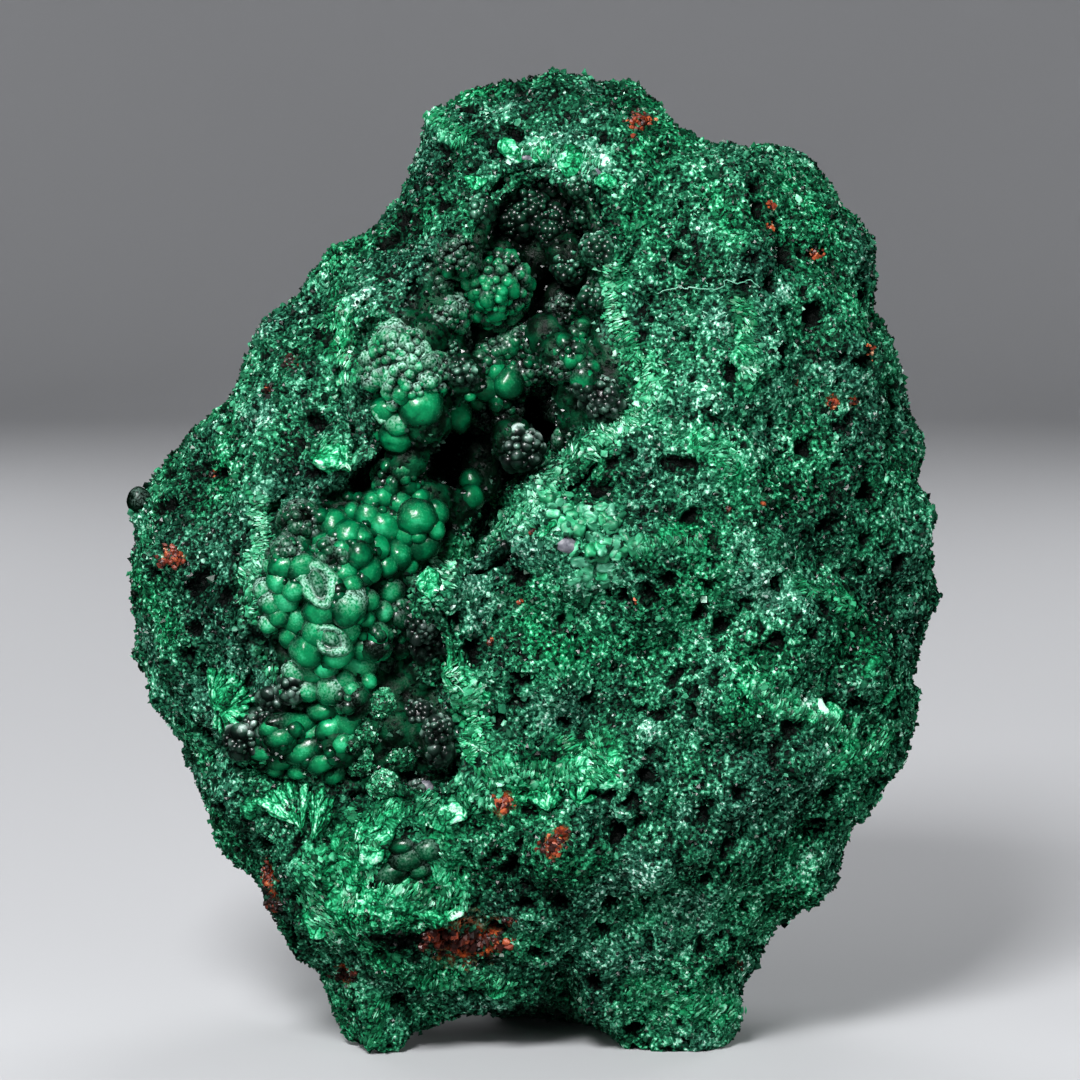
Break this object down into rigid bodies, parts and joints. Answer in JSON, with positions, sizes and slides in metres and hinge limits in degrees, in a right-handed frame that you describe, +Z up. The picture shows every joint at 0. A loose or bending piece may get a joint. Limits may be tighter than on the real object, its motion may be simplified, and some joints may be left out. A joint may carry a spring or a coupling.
{
  "type": "malachite specimen",
  "caption": "Free-standing granular malachite stone with an open hollow lined by rounded botryoidal malachite lumps.",
  "frame": {"origin": "bottom centre of the bounding box, on the surface that the stone stands on", "axes": "+Z up, -Y out of the face with the hollow, +X to the right as seen from the front"},
  "size_m": [0.1236, 0.0736, 0.1477],
  "materials": {
    "granular_malachite": "sparkling granular malachite crust, dark green grains with pale mint tops, near-black gaps and rusty spots",
    "botryoidal_malachite": "smooth, silky to velvety rounded malachite lumps, deep saturated green"
  },
  "bodies": {
    "root": {"granular_malachite": "granular_malachite", "botryoidal_lining": "botryoidal_malachite"}
  },
  "joints": []
}
